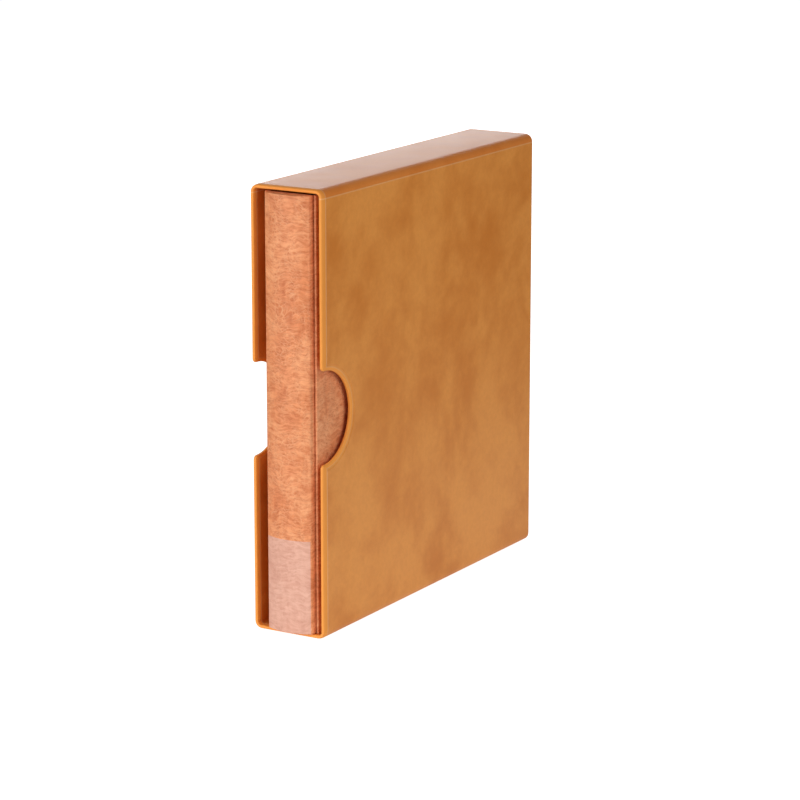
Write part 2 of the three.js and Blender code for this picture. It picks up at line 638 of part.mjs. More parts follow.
// ---------------------------------------------------------------- assembly
function slipcase() {
  const group = new THREE.Group();
  place(group, "case_sleeve_board", caseSleeveBoard(), "board");
  place(group, "case_back_board", caseBackBoard(), "board");
  place(group, "case_lining", caseLining(), "lining");
  place(group, "case_back_lining", caseBackLining(), "lining");
  place(group, "case_wrap", caseWrap(), "tanLeatherette");
  place(group, "case_back_sheet", caseBackSheet(), "tanLeatherette");
  return group;
}

function album() {
  const group = new THREE.Group();
  group.position.set(ALBUM_X, 0, ALBUM_Z);
  for (const [name, side] of [["front", 1], ["back", -1]]) {
    place(group, `${name}_cover_board`, coverBoard(side, 0), "board");
    place(group, `${name}_cover_liner`, coverLiner(side, 0), "endpaper");
  }
  place(group, "spine_board", spineBoard(0), "board");
  place(group, "spine_liner", spineLiner(0), "endpaper");
  place(group, "spine_pad", spinePad(0), "foam");
  place(group, "album_skin", albumSkin(), "peachLeatherette");
  place(group, "spine_label", spineLabel(), "paleLeatherette");
  return group;
}

function ringMechanism() {
  const group = new THREE.Group();
  group.position.set(ALBUM_X, 0, ALBUM_Z);
  place(group, "ring_cover_plate", ringCoverPlate(), "nickel");
  for (const [name, side] of [["left", -1], ["right", 1]]) {
    place(group, `ring_blade_${name}`, ringBlade(side), "nickel");
    for (let index = 0; index < RING_COUNT; index += 1) {
      place(group, `half_ring_${name}_${index + 1}`, halfRing(side, index), "nickel");
    }
  }
  for (const [name, end] of [["bottom", 0], ["top", 1]]) {
    place(group, `rivet_${name}`, rivet(end), "nickel");
    place(group, `lever_${name}`, lever(end), "nickel");
    place(group, `lever_pin_${name}`, leverPin(end), "nickel");
  }
  return group;
}

function sheets() {
  const group = new THREE.Group();
  group.position.set(ALBUM_X, 0, ALBUM_Z);
  for (let index = 0; index < SHEET_COUNT; index += 1) {
    const x = -STACK_HALF + 2 * index * SHEET_PITCH;
    place(group, `coin_sheet_${index + 1}`,
      punchedLeaf(x, SHEET_THICKNESS, SHEET_FORE_MARGIN, SHEET_END_MARGIN), "clearSheet");
  }
  for (let index = 0; index < LEAF_COUNT; index += 1) {
    const x = -STACK_HALF + (2 * index + 1) * SHEET_PITCH;
    const leaf = punchedLeaf(
      x, LEAF_THICKNESS, SHEET_FORE_MARGIN + LEAF_INSET, SHEET_END_MARGIN + LEAF_INSET);
    place(group, `interleaf_${index + 1}`, leaf, "leafCard");
  }
  return group;
}

const coinAlbum = new THREE.Group();
coinAlbum.add(slipcase(), album(), ringMechanism(), sheets());
export default coinAlbum;
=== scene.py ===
# %% [markdown]
# # A ring album for coins, standing in its slipcase
#
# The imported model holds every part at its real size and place, so this script only adds the looks.
# It makes the fine skins of the slipcase and of the album, the round wire of the rings, the coin
# pockets and the finishes, and leaves every hidden board where it is.

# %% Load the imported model
import json
import math

import bmesh
import bpy
from mathutils import Matrix, Vector


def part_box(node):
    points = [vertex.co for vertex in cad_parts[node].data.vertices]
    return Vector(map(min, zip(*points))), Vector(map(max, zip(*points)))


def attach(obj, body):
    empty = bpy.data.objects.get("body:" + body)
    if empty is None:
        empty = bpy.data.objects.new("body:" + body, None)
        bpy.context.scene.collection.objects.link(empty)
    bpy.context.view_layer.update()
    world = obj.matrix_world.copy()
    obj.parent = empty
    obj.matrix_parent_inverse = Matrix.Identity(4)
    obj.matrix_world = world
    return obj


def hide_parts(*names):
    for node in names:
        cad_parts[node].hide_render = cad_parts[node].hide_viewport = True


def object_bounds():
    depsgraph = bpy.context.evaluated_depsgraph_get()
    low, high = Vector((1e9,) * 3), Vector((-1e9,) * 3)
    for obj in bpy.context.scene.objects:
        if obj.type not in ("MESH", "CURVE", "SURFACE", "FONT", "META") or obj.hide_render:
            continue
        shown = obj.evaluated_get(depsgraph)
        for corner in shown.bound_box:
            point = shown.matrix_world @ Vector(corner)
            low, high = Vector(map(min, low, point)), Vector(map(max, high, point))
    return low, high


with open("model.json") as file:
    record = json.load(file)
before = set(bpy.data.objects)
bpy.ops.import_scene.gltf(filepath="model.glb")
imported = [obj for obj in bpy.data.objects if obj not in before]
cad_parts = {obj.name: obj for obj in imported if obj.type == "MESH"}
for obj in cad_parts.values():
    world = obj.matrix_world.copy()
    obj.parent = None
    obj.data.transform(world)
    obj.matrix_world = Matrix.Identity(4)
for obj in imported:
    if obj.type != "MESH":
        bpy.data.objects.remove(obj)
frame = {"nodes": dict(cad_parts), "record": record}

MM = 0.001
CAD_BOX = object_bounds()
print("the packed model spans", [round(side, 4) for side in CAD_BOX[1] - CAD_BOX[0]], "metres")

# %% [markdown]
# ## The camera
# A product like this is shot with a long lens from a little above, turned so that the spine and one
# side show. The camera is placed by its angles and its distance, and aimed at a point above the
# middle of the case's foot, so that the upright edges stay nearly parallel.

# %% Place the camera
CAMERA_AZIMUTH = math.radians(30.87)
CAMERA_ELEVATION = math.radians(13.44)
CAMERA_DISTANCE = 2.3726
CAMERA_LENS = 140.8
AIM_RIGHT = 1.46 * MM
AIM_UP = 137.87 * MM


def place_camera():
    """Makes the camera look at the case from the front and the right, a little from above."""
    back = Vector((
        math.sin(CAMERA_AZIMUTH) * math.cos(CAMERA_ELEVATION),
        -math.cos(CAMERA_AZIMUTH) * math.cos(CAMERA_ELEVATION),
        math.sin(CAMERA_ELEVATION),
    ))
    right = Vector((math.cos(CAMERA_AZIMUTH), math.sin(CAMERA_AZIMUTH), 0))
    up = back.cross(right)
    camera = bpy.data.objects.new("camera", bpy.data.cameras.new("camera"))
    camera.data.lens = CAMERA_LENS
    turn = Matrix((right, up, back)).transposed().to_4x4()
    spot = back * CAMERA_DISTANCE + right * AIM_RIGHT + up * AIM_UP
    camera.matrix_world = Matrix.Translation(spot) @ turn
    bpy.context.scene.collection.objects.link(camera)
    bpy.context.scene.camera = camera
    print("camera at", [round(value, 3) for value in spot])


place_camera()

# %% [markdown]
# ## The studio
# The room is dim, and three soft lights do the work. A large one in front on the left makes the spine
# the brightest side, a weaker one on the right fills the big side, and a low wide one behind draws
# the pale gloss on the lid of the case. The colours are shown without a film look, so that a finish
# comes out as it was mixed.

# %% Light the studio
ROOM_LIGHT = 0.12
ROOM_TINT = (1.0, 0.985, 0.965, 1.0)
FLOOR_SIZE = 12.0
LIGHTS = {
    # name: (place, width and height, watts)
    "key_light": ((-0.8, -2.2, 0.8), (1.6, 1.6), 40.0),
    "fill_light": ((2.2, -0.9, 1.0), (1.6, 1.6), 29.0),
    "lid_light": ((-1.25, 2.1, 0.6), (2.0, 1.2), 26.0),
}


def light_studio():
    """Gives the scene a pale room and its soft lights, all aimed at the middle of the case."""
    world = bpy.data.worlds.new("studio")
    world.use_nodes = True
    background = world.node_tree.nodes["Background"]
    background.inputs["Color"].default_value = ROOM_TINT
    background.inputs["Strength"].default_value = ROOM_LIGHT
    bpy.context.scene.world = world
    bpy.context.scene.view_settings.view_transform = "Standard"
    middle = (CAD_BOX[0] + CAD_BOX[1]) / 2
    for name, (spot, size, watts) in LIGHTS.items():
        data = bpy.data.lights.new(name, "AREA")
        data.shape = "RECTANGLE"
        data.size, data.size_y = size
        data.energy = watts
        light = bpy.data.objects.new(name, data)
        light.location = spot
        light.visible_camera = False
        light.rotation_euler = (Vector(spot) - middle).to_track_quat("Z", "Y").to_euler()
        bpy.context.scene.collection.objects.link(light)
    print(len(LIGHTS), "soft lights")


light_studio()

# %% [markdown]
# ## Shader maths
# A finish is a sum of simple patterns. Written as nodes, such sums grow long, so one small class
# wraps a value in a material and turns plus, minus and times into Math nodes. Every other node
# comes from one method that takes the node's type, its settings and what its sockets get.


# %% Values that can be added and multiplied
class Reading:
    """A value inside a material; arithmetic on it adds Math nodes."""

    def __init__(self, finish, socket):
        self.finish = finish
        self.socket = socket

    def maths(self, operation, first, second):
        """A Math node on two values."""
        return self.finish.node("ShaderNodeMath", {"operation": operation}, {0: first, 1: second})

    def __add__(self, other):
        return self.maths("ADD", self, other)

    def __sub__(self, other):
        return self.maths("SUBTRACT", self, other)

    def __rsub__(self, other):
        return self.maths("SUBTRACT", other, self)

    def __mul__(self, other):
        return self.maths("MULTIPLY", self, other)

    __radd__ = __add__
    __rmul__ = __mul__

    def step(self, low, high):
        """0 under low, 1 over high, and a soft step between them."""
        return self.finish.node(
            "ShaderNodeMapRange",
            {"interpolation_type": "SMOOTHSTEP"},
            {"Value": self, "From Min": low, "From Max": high},
        )


# %% [markdown]
# ## A finish under construction
# Every finish reads Object coordinates, which are metres on these pieces, so that a pattern keeps
# its real scale and runs on from one piece to the next. Colours are written as they look on a
# screen and turned into the linear values that the shader wants.


# %% Build a finish
def tone(red, green, blue):
    """A screen colour from 0 to 255 as the linear colour that a shader wants."""
    def linear(level):
        share = level / 255
        return share / 12.92 if share <= 0.04045 else ((share + 0.055) / 1.055) ** 2.4
    return (linear(red), linear(green), linear(blue), 1.0)


class Finish:
    """A procedural material with its shader, built up a pattern at a time."""

    def __init__(self, name, **constants):
        self.material = bpy.data.materials.new(name)
        self.material.use_nodes = True
        self.tree = self.material.node_tree
        self.shader = self.tree.nodes["Principled BSDF"]
        self.place = self.node("ShaderNodeTexCoord", output="Object")
        for socket, value in constants.items():
            self.shader.inputs[socket.replace("_", " ")].default_value = value

    def node(self, kind, settings=None, sockets=None, output=0):
        """Adds a node: its settings first, then a value or a link for each socket named."""
        made = self.tree.nodes.new(kind)
        for name, value in (settings or {}).items():
            setattr(made, name, value)
        for socket, value in (sockets or {}).items():
            if isinstance(value, Reading):
                self.tree.links.new(value.socket, made.inputs[socket])
            else:
                made.inputs[socket].default_value = value
        return Reading(self, made.outputs[output])

    def stretched(self, place, scale, turn=(0, 0, 0)):
        """The place turned and scaled, so that a pattern on it is stretched and slanted."""
        return self.node("ShaderNodeMapping", None, {"Vector": place, "Scale": scale, "Rotation": turn})

    def noise(self, place, scale, detail=2.0, roughness=0.5):
        return self.node("ShaderNodeTexNoise", None, {
            "Vector": place, "Scale": scale, "Detail": detail, "Roughness": roughness})

    def warped(self, place, scale, amount):
        """The place pushed about by a noise, so that straight patterns wander."""
        push = self.node("ShaderNodeTexNoise", None, {
            "Vector": place, "Scale": scale, "Detail": 2.0}, output=1)
        centred = self.node("ShaderNodeVectorMath", {"operation": "SUBTRACT"}, {0: push, 1: (0.5, 0.5, 0.5)})
        scaled = self.node("ShaderNodeVectorMath", {"operation": "SCALE"}, {0: centred, "Scale": amount})
        return self.node("ShaderNodeVectorMath", {"operation": "ADD"}, {0: place, 1: scaled})

    def cell_edges(self, place, scale, low, high):
        """1 on the lines between the cells of a cracked pattern, 0 inside the cells."""
        distance = self.node("ShaderNodeTexVoronoi", {"feature": "DISTANCE_TO_EDGE"}, {
            "Vector": place, "Scale": scale})
        return 1 - distance.step(low, high)

    def blend(self, factor, first, second):
        """The first colour where the factor is 0, the second where it is 1."""
        return self.node("ShaderNodeMix", {"data_type": "RGBA"}, {0: factor, 6: first, 7: second}, output=2)

    def feed(self, socket, reading):
        self.tree.links.new(reading.socket, self.shader.inputs[socket])

    def bump(self, height, distance, strength=1.0):
        """Lets the light see a height pattern that is distance metres deep."""
        self.feed("Normal", self.node("ShaderNodeBump", None, {
            "Height": height, "Distance": distance, "Strength": strength}))


# %% [markdown]
# ## Satin leatherette of the slipcase
# The case is covered with a coated cloth that is brushed with a darker tint and polished: it has
# soft clouds as wide as a hand, smaller blotches inside them, hardly any grain and a satin gloss.
# Noise at three scales does that. The finest one is only felt in the bump and the roughness. Round
# the mouth and the thumb notches the sheet is drawn over the board's edge, and a border as wide as
# that rounded lip is painted a clear, lighter orange: a painted highlight on the lip. That border is
# also less glossy. A fine pale line parts it from the panel, and another runs under the rounded edges
# of the lid: painted highlights where those edges catch the light, with some wear. The lid and its
# rounded edges are mixed with a darker orange: painted shade on the rounded edges.

# %% Mix the satin leatherette
RIM_BAND = 4.3 * MM
NOTCH_RADIUS = 34 * MM
NOTCH_ENTRY = 3 * MM
RIM_SOFT = 0.2 * MM
# width of the fine pale lines: painted highlight with some wear
WEAR_AND_HIGHLIGHT_LINE = 0.8 * MM
NOTCH_SHARE = 0.5
LID_ROUNDING = 6 * MM


def rim_mask(finish, width):
    """1 on a border of that width round the mouth and the notches, 0 beyond it."""
    low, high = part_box("case_wrap")
    centre = (0, low.y + NOTCH_ENTRY, (low.z + high.z) / 2)
    offset = finish.node("ShaderNodeVectorMath", {"operation": "SUBTRACT"}, {0: finish.place, 1: centre})
    flat = finish.node("ShaderNodeVectorMath", {"operation": "MULTIPLY"}, {0: offset, 1: (0, 1, 1)})
    from_notch = finish.node("ShaderNodeVectorMath", {"operation": "LENGTH"}, {0: flat}, output=1)
    depth = finish.node("ShaderNodeSeparateXYZ", None, {0: finish.place}, output=1)
    edge = low.y + width
    past_mouth = depth.step(edge - RIM_SOFT, edge + RIM_SOFT)
    bow = NOTCH_RADIUS + width * NOTCH_SHARE
    past_notch = from_notch.step(bow - RIM_SOFT, bow + 3 * RIM_SOFT)
    return 1 - past_mouth * past_notch


def above_mask(finish, drop):
    """1 above a height that is given down from the lid, 0 below it."""
    height = finish.node("ShaderNodeSeparateXYZ", None, {0: finish.place}, output=2)
    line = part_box("case_wrap")[1].z - drop
    return height.step(line - RIM_SOFT, line + RIM_SOFT)


def tan_leatherette():
    finish = Finish("tan_leatherette", Specular_IOR_Level=0.45)
    drift = finish.warped(finish.place, 7.0, 0.06)
    clouds = finish.noise(finish.stretched(drift, (1, 1.0, 0.8)), 13.0, 3.0, 0.55)
    blotches = finish.noise(drift, 48.0, 4.0, 0.6)
    pores = finish.noise(finish.place, 1500.0, 2.0, 0.5)
    tint = (clouds * 0.7 + blotches * 0.3).step(0.34, 0.62)
    colour = finish.blend(tint, tone(218, 130, 44), tone(240, 158, 72))
    fleck = finish.noise(finish.place, 320.0, 3.0, 0.6).step(0.3, 0.7)
    colour = finish.blend(fleck * 0.12, colour, tone(186, 104, 40))
    painted_highlight_rim = rim_mask(finish, RIM_BAND)
    painted_lid_shade = above_mask(finish, LID_ROUNDING)
    wear_and_highlight_line = rim_mask(finish, RIM_BAND + WEAR_AND_HIGHLIGHT_LINE) - painted_highlight_rim
    wear_and_highlight_line = wear_and_highlight_line + above_mask(finish, LID_ROUNDING + WEAR_AND_HIGHLIGHT_LINE) - painted_lid_shade
    # painted shade: a darker orange mixed over the lid and its rounded edges
    colour = finish.blend(painted_lid_shade * 0.5, colour, tone(226, 118, 40))
    # painted highlight: a lighter orange on the border round the mouth and the notches
    colour = finish.blend(painted_highlight_rim * 0.75, colour, tone(252, 162, 66))
    # painted highlight with some wear: fine pale lines beside the lip border and under the lid's rounded
    # edges
    finish.feed("Base Color", finish.blend(wear_and_highlight_line * 0.35, colour, tone(255, 212, 160)))
    finish.feed("Roughness", 0.36 + blotches * 0.1 + pores * 0.06 + painted_highlight_rim * 0.2)
    finish.bump(pores * 0.5 + blotches * 2.0, 0.03 * MM)
    return finish.material


# %% [markdown]
# ## Crinkled leatherette of the album
# The album's cover is softer and matt, with the fine creases of drawn leather. The creases are the
# lines between the cells of a cracked pattern, stretched across the spine and pushed about by a
# noise, with a second, coarser set over them. Along a crease the colour is lighter: partly the paler
# colour of the creased skin, partly a painted highlight on the crease edges. Streaks run
# across the spine between the creases, and fainter ones run up it.


# %% Mix the crinkled leatherette
def crinkled_leatherette(name, pale, mid, dark, crease_pale_and_highlight_share, streak_share, roughness):
    """A crinkled finish in three tones, with as much crease and streak as asked."""
    finish = Finish(name, Specular_IOR_Level=0.4)
    drift = finish.warped(finish.place, 60.0, 0.012)
    fine = finish.cell_edges(finish.stretched(drift, (1, 1, 1.5), (0, 0.12, 0)), 330.0, 0.0, 0.2)
    coarse = finish.cell_edges(finish.stretched(drift, (1, 1, 2.2), (0, -0.3, 0)), 130.0, 0.0, 0.08)
    streaks = finish.noise(finish.stretched(drift, (1, 1, 4)), 120.0, 5.0, 0.7).step(0.34, 0.66)
    upright = finish.noise(finish.stretched(drift, (2, 2, 0.4)), 110.0, 3.0, 0.6).step(0.38, 0.62)
    patches = finish.noise(finish.place, 30.0, 3.0, 0.5).step(0.3, 0.7)
    broken = finish.noise(finish.place, 90.0, 2.0, 0.5).step(0.3, 0.6)
    creases = (fine * 0.4 + coarse * 0.4) * broken
    colour = finish.blend(patches * 0.2 + streaks * 0.55 + upright * 0.25, dark, mid)
    colour = finish.blend(streaks * patches * streak_share, colour, pale)
    # the creases are blended to the pale tone: partly their own paler colour, partly a painted highlight
    colour = finish.blend(creases * crease_pale_and_highlight_share, colour, pale)
    finish.feed("Base Color", colour)
    grain = finish.noise(finish.place, 1400.0, 3.0, 0.6)
    finish.feed("Roughness", roughness + grain * 0.12 - creases * 0.06)
    finish.bump(creases * 0.8 + streaks * 0.7 + upright * 0.5 + grain * 0.5, 0.17 * MM)
    return finish.material


def peach_leatherette():
    return crinkled_leatherette(
        "peach_leatherette", tone(255, 192, 142), tone(244, 154, 100), tone(198, 106, 60), 0.6, 0.35, 0.5)


def pale_leatherette():
    return crinkled_leatherette(
        "pale_leatherette", tone(246, 198, 176), tone(232, 177, 154), tone(208, 148, 126), 0.25, 0.3, 0.55)


# %% [markdown]
# ## Papers, board and foam
# Inside the skins are grey board, dyed paper and foam. They show as edges and linings only, so a
# fibre noise and two close tones are enough for each.


# %% Mix papers, board and foam
def fibrous(name, light, dark, fibre_scale, depth, roughness, sheen=0.0):
    """A matt fibrous finish in two close tones."""
    finish = Finish(name, Specular_IOR_Level=0.3, Sheen_Weight=sheen)
    fibres = finish.noise(finish.stretched(finish.place, (1, 1, 0.35)), fibre_scale, 4.0, 0.7)
    specks = finish.noise(finish.place, fibre_scale * 0.3, 2.0, 0.5)
    finish.feed("Base Color", finish.blend((fibres * 0.6 + specks * 0.4).step(0.3, 0.7), dark, light))
    finish.feed("Roughness", roughness + fibres * 0.08)
    finish.bump(fibres, depth)
    return finish.material


def grey_board():
    return fibrous("grey_board", tone(160, 150, 134), tone(138, 127, 110), 900.0, 0.08 * MM, 0.85)


def case_lining_paper():
    return fibrous("case_lining_paper", tone(150, 102, 54), tone(128, 84, 42), 700.0, 0.04 * MM, 0.6)


def endpaper():
    return fibrous("endpaper", tone(236, 226, 204), tone(226, 214, 190), 600.0, 0.03 * MM, 0.75)


def leaf_card():
    return fibrous("leaf_card", tone(244, 242, 234), tone(236, 233, 222), 650.0, 0.03 * MM, 0.75)


def foam():
    finish = Finish("foam", Specular_IOR_Level=0.2, Sheen_Weight=0.2)
    pits = finish.cell_edges(finish.place, 1100.0, 0.0, 0.3)
    finish.feed("Base Color", finish.blend(pits, tone(214, 208, 192), tone(236, 231, 219)))
    finish.feed("Roughness", 0.9 - pits * 0.1)
    finish.bump(pits, 0.2 * MM)
    return finish.material


# %% [markdown]
# ## Nickel plate and clear sheet
# The ring mechanism is pressed steel with bright nickel on it. Plate of this kind is never a clean
# mirror: it has faint cloudy haze and drawn lines along its length. The coin sheets are soft clear
# vinyl, slightly blue, with a gloss that breaks where the film isn't quite flat.


# %% Mix nickel and vinyl
def nickel_plate():
    finish = Finish("nickel_plate", Metallic=1.0)
    haze = finish.noise(finish.place, 110.0, 3.0, 0.6)
    drawn = finish.noise(finish.stretched(finish.place, (1, 1, 0.04)), 1800.0, 2.0, 0.5)
    finish.feed("Base Color", finish.blend(haze.step(0.3, 0.7), tone(214, 210, 202), tone(228, 226, 220)))
    finish.feed("Roughness", 0.14 + haze * 0.12 + drawn * 0.08)
    finish.bump(drawn, 0.01 * MM)
    return finish.material


def clear_vinyl():
    finish = Finish("clear_vinyl", Alpha=0.45, Specular_IOR_Level=0.5)
    ripple = finish.noise(finish.place, 35.0, 3.0, 0.5)
    finish.feed("Base Color", finish.blend(ripple.step(0.3, 0.7), tone(222, 232, 236), tone(236, 243, 246)))
    finish.feed("Roughness", 0.08 + ripple * 0.1)
    finish.bump(ripple, 0.6 * MM)
    return finish.material


FINISHES = {
    "tan_leatherette": tan_leatherette(),
    "peach_leatherette": peach_leatherette(),
    "pale_leatherette": pale_leatherette(),
    "board": grey_board(),
    "case_lining": case_lining_paper(),
    "endpaper": endpaper(),
    "foam": foam(),
    "nickel_plate": nickel_plate(),
    "clear_sheet": clear_vinyl(),
    "leaf_card": leaf_card(),
}
print(len(FINISHES), "finishes mixed")

# %% [markdown]
# ## The floor
# Plain pale paper. To the camera it gives light of its own, so that it stays white and only a faint
# shadow gathers at the foot of the case. What shines back into the leatherette is a pool of light
# round the case that fades outwards, so the big side is paler near its foot.


# %% Lay the floor
FLOOR_GLOW = 0.98
POOL_EDGE = (0.25, 1.1)
POOL_GREY = (0.5, 0.49, 0.48, 1)
PAPER_DARK, PAPER_PALE = (0.25, 0.25, 0.25, 1), (0.28, 0.28, 0.28, 1)
BLACK, WHITE = (0, 0, 0, 1), (1, 1, 1, 1)
PAPER_TOOTH = (400.0, 3.0, 0.6)


def lay_floor():
    """A sheet of paper under the case: it glows white, with a pool of grey around the object."""
    finish = Finish("floor_paper", Roughness=0.7, Emission_Strength=FLOOR_GLOW)
    seen = finish.node("ShaderNodeLightPath")
    away = finish.node("ShaderNodeVectorMath", {"operation": "LENGTH"}, {0: finish.place}, output=1)
    pool = finish.blend(away.step(*POOL_EDGE), POOL_GREY, BLACK)
    finish.feed("Emission Color", finish.blend(seen, pool, WHITE))
    tooth = finish.noise(finish.place, *PAPER_TOOTH)
    finish.feed("Base Color", finish.blend(tooth, PAPER_DARK, PAPER_PALE))
    mesh = bmesh.new()
    bmesh.ops.create_grid(mesh, x_segments=1, y_segments=1, size=FLOOR_SIZE / 2)
    data = bpy.data.meshes.new("floor")
    mesh.to_mesh(data)
    mesh.free()
    data.materials.append(finish.material)
    floor = bpy.data.objects.new("floor", data)
    bpy.context.scene.collection.objects.link(floor)


lay_floor()

# %% [markdown]
# ## From a bmesh to a finished piece
# Each piece is built in its own bmesh, in metres, where it belongs. Handing it over is always the
# same: recalculate its normals, name it, shade it smooth with its sharp edges kept, give it its
# finish and its body, and hide the plain solid it stands for.

# %% Hand a piece over
SHARP = math.radians(35)
BODY_OF = {node: body for body, nodes in frame["record"]["behaviour"]["bodies"].items() for node in nodes}
SLOT_OF = {part["node"]: part["material_slot"] for part in frame["record"]["subparts"]}


def finished(mesh, name, node):
    """Makes the piece that stands for a node, and gives it the node's body and finish."""
    bmesh.ops.recalc_face_normals(mesh, faces=mesh.faces)
    data = bpy.data.meshes.new(name)
    mesh.to_mesh(data)
    mesh.free()
    data.shade_smooth()
    data.set_sharp_from_angle(angle=SHARP)
    data.materials.append(FINISHES[SLOT_OF[node]])
    piece = bpy.data.objects.new(name, data)
    bpy.context.scene.collection.objects.link(piece)
    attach(piece, BODY_OF[node])
    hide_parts(node)
    print(f"{name}: {len(data.polygons)} faces")
    return piece


# %% [markdown]
# ## Outlines from arcs and straights
# The skins follow outlines made of straight runs and round corners. An arc gets a few even points,
# and one more a hair before and after it: there the surface is flat again, so the shading of a
# round corner doesn't leak into the big flat panel beside it.

# %% Draw outlines
HAIR = 0.3 * MM


def arc(centre, radius, start, end, steps):
    """Points along an arc, from one angle to another in degrees."""
    angles = [math.radians(start + (end - start) * step / steps) for step in range(steps + 1)]
    return [(centre[0] + radius * math.cos(a), centre[1] + radius * math.sin(a)) for a in angles]


def framed(points):
    """The same points with one more a hair before the first and one after the last, straight on."""
    first = Vector(points[0]) + (Vector(points[0]) - Vector(points[1])).normalized() * HAIR
    last = Vector(points[-1]) + (Vector(points[-1]) - Vector(points[-2])).normalized() * HAIR
    return [tuple(first), *points, tuple(last)]


def ring_of(mesh, points):
    """A closed ring of vertices and edges through points."""
    corners = [mesh.verts.new(point) for point in points]
    for here, after in zip(corners, corners[1:] + corners[:1]):
        mesh.edges.new((here, after))
    return corners


def verts_in(geometry):
    """The vertices among what an operator gave back."""
    return [part for part in geometry if isinstance(part, bmesh.types.BMVert)]


def swept_rings(mesh, rings):
    """Extrudes the first ring through all the others, which have as many points each."""
    corners = ring_of(mesh, rings[0])
    count = len(corners)
    for points in rings[1:]:
        edges = [mesh.edges.get((corners[i], corners[(i + 1) % count])) for i in range(count)]
        grown = bmesh.ops.extrude_edge_only(mesh, edges=edges)["geom"]
        fresh = set(verts_in(grown))
        corners = [next(edge.other_vert(vert) for edge in vert.link_edges if edge.other_vert(vert) in fresh)
                   for vert in corners]
        for vert, point in zip(corners, points):
            vert.co = point


def pull(mesh, faces, way):
    """Pulls faces out along a way and keeps the first ones, so that a solid is left."""
    grown = bmesh.ops.extrude_face_region(mesh, geom=faces, use_keep_orig=True)["geom"]
    bmesh.ops.translate(mesh, vec=way, verts=verts_in(grown))


def prism(mesh, outline, low, high):
    """Fills an outline given in X and Y at one height and pulls it up to another."""
    ring_of(mesh, [(x, y, low) for x, y in outline])
    foot = bmesh.ops.edgeloop_fill(mesh, edges=mesh.edges[:])["faces"]
    pull(mesh, foot, (0, 0, high - low))
    bmesh.ops.recalc_face_normals(mesh, faces=mesh.faces)


def round_edges(mesh, edges, radius, segments, clamp=True):
    """Rounds edges with a bevel of so many segments."""
    bmesh.ops.bevel(mesh, geom=edges, offset=radius, offset_type="OFFSET", affect="EDGES",
                    segments=segments, profile=0.5, material=-1, clamp_overlap=clamp)


# %% [markdown]
# ## The skin of the slipcase
# The real skin is one sheet glued round the board: along the outside, over the mouth's edge and the
# edges of both thumb notches, and a thumb's width back inside. So it is made as one sheet too. A
# ring that follows the mouth and its notches is extruded again and again: from the inside border,
# round the lip, along the sides and onto the back. A Solidify modifier then gives it the thickness
# of the cloth, towards the board.

# %% Measure the slipcase
CASE_LOW, CASE_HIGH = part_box("case_wrap")
LINING_LOW, LINING_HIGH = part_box("case_lining")
BACK_SHEET_LOW, BACK_SHEET_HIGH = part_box("case_back_sheet")
SKIN = 0.6 * MM
LINER = 0.3 * MM
GLUE = 0.1 * MM
CASE_HALF = CASE_HIGH.x
CASE_HEIGHT = CASE_HIGH.z
MOUTH = CASE_LOW.y
BACK = CASE_HIGH.y
WALL = CASE_HALF - LINING_HIGH.x + LINER
EDGE_RADIUS = 6 * MM
MOUTH_RADIUS = 2.6 * MM
LIP_RADIUS = 0.8 * MM
RIM_DROP = 0.93 * MM
PANEL_STEP = 0.22 * MM
STEP_RUN = 0.12 * MM
BACK_RADIUS = 0.9 * MM
TURN_IN = LINING_LOW.y - MOUTH
BACK_BORDER = BACK_SHEET_LOW.z
NOTCH_TURN_IN = 12 * MM
CORNER_STEPS = 10
ENTRY_STEPS = 6
BOW_STEPS = 48
LIP_STEPS = 5
print("case wall", round(WALL / MM, 2), "mm, turned in", round(TURN_IN / MM, 1), "mm")

# %% [markdown]
# ## The line of the mouth
# The mouth runs straight down each corner and swings back round a thumb notch in each side. Every
# ring of the skin is that same line, moved into the wall and back from the edge, so all rings have
# as many points and can be joined one to the next. The ring on the back has no notches, but it gets
# their points as well, spread along its straight sides.

# %% Draw the mouth and the back
def notch_points(border, notch_border):
    """Y and Z, from the notch's middle height, of the mouth's line round a thumb notch."""
    centre = MOUTH + NOTCH_ENTRY
    bow = NOTCH_RADIUS + notch_border
    if border < NOTCH_ENTRY:
        entry = arc((centre, -NOTCH_RADIUS - NOTCH_ENTRY), NOTCH_ENTRY - border, 180, 90, ENTRY_STEPS)
        swing = 90
    else:
        reach = math.sqrt(bow ** 2 - (border - NOTCH_ENTRY) ** 2)
        swing = math.degrees(math.atan2(reach, border - NOTCH_ENTRY))
        entry = [(MOUTH + border, -reach - NOTCH_ENTRY * (1 - step / ENTRY_STEPS))
                 for step in range(ENTRY_STEPS + 1)]
    leave = [(y, -z) for y, z in reversed(entry)]
    return entry[:-1] + arc((centre, 0), bow, -swing, swing, BOW_STEPS) + leave[1:]


def corner_points(inset, share):
    """X and Z of the four rounded corners of the case's section, counter-clockwise from below right.

    The corners and the lid lie a fine step under the side panels.
    """
    radius = EDGE_RADIUS + (MOUTH_RADIUS - EDGE_RADIUS) * share
    step = max(PANEL_STEP - inset, 0)
    x = CASE_HALF - inset - radius
    low, high = inset + radius, CASE_HEIGHT - inset - radius
    corners = []
    for side, z, start in ((1, low, 270), (1, high, 0), (-1, high, 90), (-1, low, 180)):
        inwards = 1 if z == low else -1
        panel = [(side * (x + radius), z + inwards * (HAIR + STEP_RUN + run)) for run in (0, HAIR)]
        bend = framed(arc((side * x, z), radius - step, start, start + 90, CORNER_STEPS))
        corners.append(bend + panel if start in (270, 90) else panel[::-1] + bend)
    return corners


def lifted(corner, y):
    """A corner's points at a depth."""
    return [(x, y, z) for x, z in corner]


